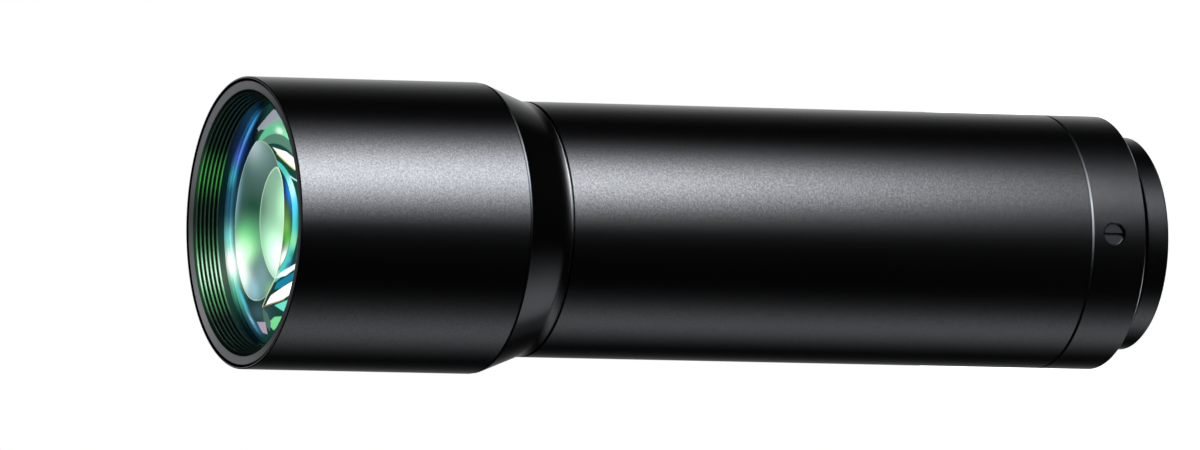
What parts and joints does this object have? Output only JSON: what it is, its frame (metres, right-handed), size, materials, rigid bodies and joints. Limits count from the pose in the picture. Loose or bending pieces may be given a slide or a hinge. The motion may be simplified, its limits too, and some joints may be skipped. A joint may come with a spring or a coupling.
{
  "type": "telecentric lens",
  "caption": "Long stepped machine-vision lens in black anodised aluminium: a wide threaded mouth over coated glass, a slim barrel, and a collar that screws onto a camera.",
  "frame": {"origin": "centre of the collar's rear face, which is the seat against the camera", "axes": "+Z along the optical axis, from the camera to the object in view; the lens stands on its rear collar, and one grub screw faces -Y"},
  "size_m": [0.041, 0.041, 0.1365],
  "materials": {
    "black_anodised": "bead-blasted, black anodised, satin",
    "bright_anodised": "finely turned, black anodised, glossy",
    "matte_anodised": "black anodised, matte",
    "coated_glass": "polished, anti-reflection coated",
    "optical_glass": "polished, coated",
    "shim_steel": "rolled",
    "black_steel": "black oxide"
  },
  "bodies": {
    "root": {"front_barrel": "black_anodised", "filter_thread_ring": "black_anodised", "front_retaining_ring": "matte_anodised", "front_crown_lens": "coated_glass", "front_flint_lens": "optical_glass", "front_lens_spacer": "matte_anodised", "second_lens": "optical_glass", "taper_ring": "bright_anodised", "third_lens": "optical_glass", "third_lens_retaining_ring": "matte_anodised", "main_barrel": "black_anodised", "baffle_tube": "matte_anodised", "stop_holder": "matte_anodised", "aperture_disc": "matte_anodised", "stop_retaining_ring": "matte_anodised", "rear_lens_cell": "matte_anodised", "rear_crown_lens": "optical_glass", "rear_flint_lens": "optical_glass", "rear_lens_spacer": "matte_anodised", "rear_singlet_lens": "optical_glass", "rear_retaining_ring": "matte_anodised", "rear_ring": "black_anodised", "back_focus_shim": "shim_steel", "mount_collar": "black_anodised", "grub_screws": "black_steel"}
  },
  "joints": []
}
